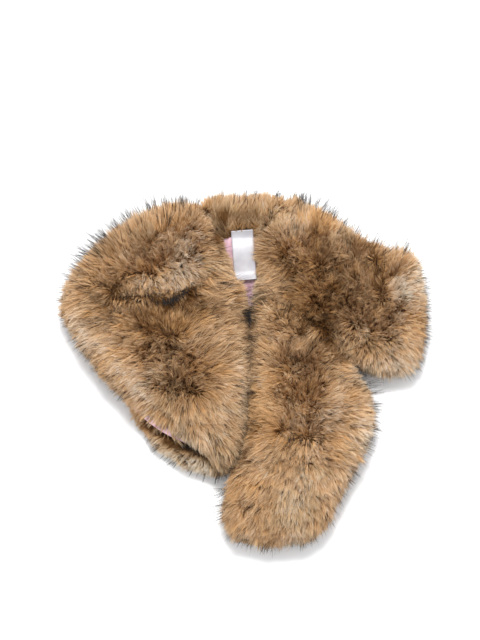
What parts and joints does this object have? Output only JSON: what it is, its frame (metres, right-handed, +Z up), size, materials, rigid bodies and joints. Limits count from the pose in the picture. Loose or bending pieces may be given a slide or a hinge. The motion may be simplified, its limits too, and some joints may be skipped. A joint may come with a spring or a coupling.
{
  "type": "fur collar wrap",
  "caption": "Wide fur collar wrap laid flat with its left front turned down over its own end, satin lining and a bare label showing in the neck.",
  "frame": {"origin": "on the table under the middle of the laid-out wrap", "axes": "+Z up from the table, +Y from the tail towards the back of the neck, +X towards the right front"},
  "size_m": [0.4452, 0.434, 0.0819],
  "materials": {
    "fur": "deep golden-tan pile, darker brown at the roots and where it parts, with long dark-tipped guard hairs",
    "fur_underlap": "the same pile, a little flatter and duller where it is tucked under",
    "fur_inner": "the same pile pressed flat inside the neck",
    "satin": "pale pink satin with a soft sheen",
    "label": "white woven label, bare, sewn in at its top edge"
  },
  "bodies": {
    "root": {"left_front": "fur", "right_front": "fur", "front_tail": "fur", "left_underlap": "fur_underlap", "neck_back": "fur", "neck_inner": "fur_inner", "neck_lining": "satin", "label": "label", "hem_lining": "satin"}
  },
  "joints": []
}
